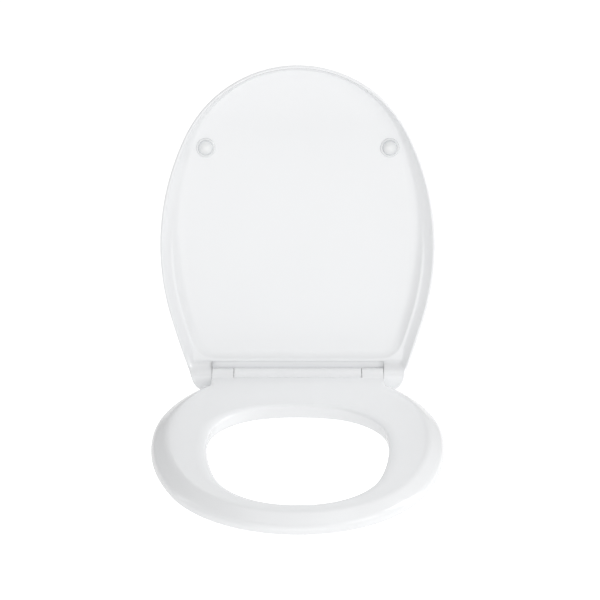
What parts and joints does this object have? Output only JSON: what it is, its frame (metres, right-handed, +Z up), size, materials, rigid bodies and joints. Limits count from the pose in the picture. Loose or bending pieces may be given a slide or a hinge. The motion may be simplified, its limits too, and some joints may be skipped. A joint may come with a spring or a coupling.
{
  "type": "toilet seat",
  "caption": "Oval toilet seat with a hinged lid on a soft-close hinge bar, clipped to eccentric base discs that bolt to the bowl.",
  "frame": {"origin": "on the bowl's top plane, midway between the two fixing bolts, under the hinge axis", "axes": "+Z up, -Y towards the front of the seat, +X to the right seen from the front; the hinge axis runs along X"},
  "size_m": [0.375, 0.5249, 0.4749],
  "materials": {
    "white_shell": "gloss moulded thermoset, white",
    "hinge_plastic": "satin moulded plastic, white",
    "soft_buffer": "soft translucent elastomer",
    "damper_body": "matte moulded plastic, dark grey",
    "steel": "turned stainless steel",
    "gasket_rubber": "matte soft ring, off-white",
    "nut_plastic": "matte moulded plastic, white"
  },
  "bodies": {
    "hinge": {"hinge_barrel": "hinge_plastic", "lid_damper": "damper_body", "seat_damper": "damper_body", "left_latch_spring": "steel", "right_latch_spring": "steel"},
    "lid": {"lid": "white_shell", "left_lid_buffer": "soft_buffer", "right_lid_buffer": "soft_buffer", "lid_damper_shaft": "steel"},
    "seat": {"seat_ring": "white_shell", "front_left_seat_buffer": "soft_buffer", "front_right_seat_buffer": "soft_buffer", "rear_left_seat_buffer": "soft_buffer", "rear_right_seat_buffer": "soft_buffer", "seat_damper_shaft": "steel"},
    "left_base": {"left_base_disc": "steel", "left_clip_post": "steel", "left_base_gasket": "gasket_rubber", "left_bolt": "steel", "left_cone_washer": "gasket_rubber", "left_wing_nut": "nut_plastic"},
    "right_base": {"right_base_disc": "steel", "right_clip_post": "steel", "right_base_gasket": "gasket_rubber", "right_bolt": "steel", "right_cone_washer": "gasket_rubber", "right_wing_nut": "nut_plastic"},
    "left_button": {"left_release_button": "hinge_plastic"},
    "right_button": {"right_release_button": "hinge_plastic"}
  },
  "joints": [
    {"name": "lid_hinge", "type": "hinge", "parent": "hinge", "child": "lid", "pos_m": [0, 0, 0.024], "axis": [1, 0, 0], "range_deg": [0, 102]},
    {"name": "seat_hinge", "type": "hinge", "parent": "hinge", "child": "seat", "pos_m": [0, 0, 0.024], "axis": [1, 0, 0], "range_deg": [-102, 0]},
    {"name": "left_button_slide", "type": "slide", "parent": "hinge", "child": "left_button", "axis": [0, 1, 0], "range_m": [0, 0.0032], "stiffness_N_per_m": 800, "deforming": ["left_latch_spring"]},
    {"name": "right_button_slide", "type": "slide", "parent": "hinge", "child": "right_button", "axis": [0, 1, 0], "range_m": [0, 0.0032], "stiffness_N_per_m": 800, "deforming": ["right_latch_spring"]},
    {"name": "left_base_swivel", "type": "hinge", "parent": "hinge", "child": "left_base", "pos_m": [-0.0625, 0, 0], "axis": [0, 0, 1], "continuous": true},
    {"name": "right_base_swivel", "type": "hinge", "parent": "hinge", "child": "right_base", "pos_m": [0.0625, 0, 0], "axis": [0, 0, 1], "continuous": true}
  ]
}
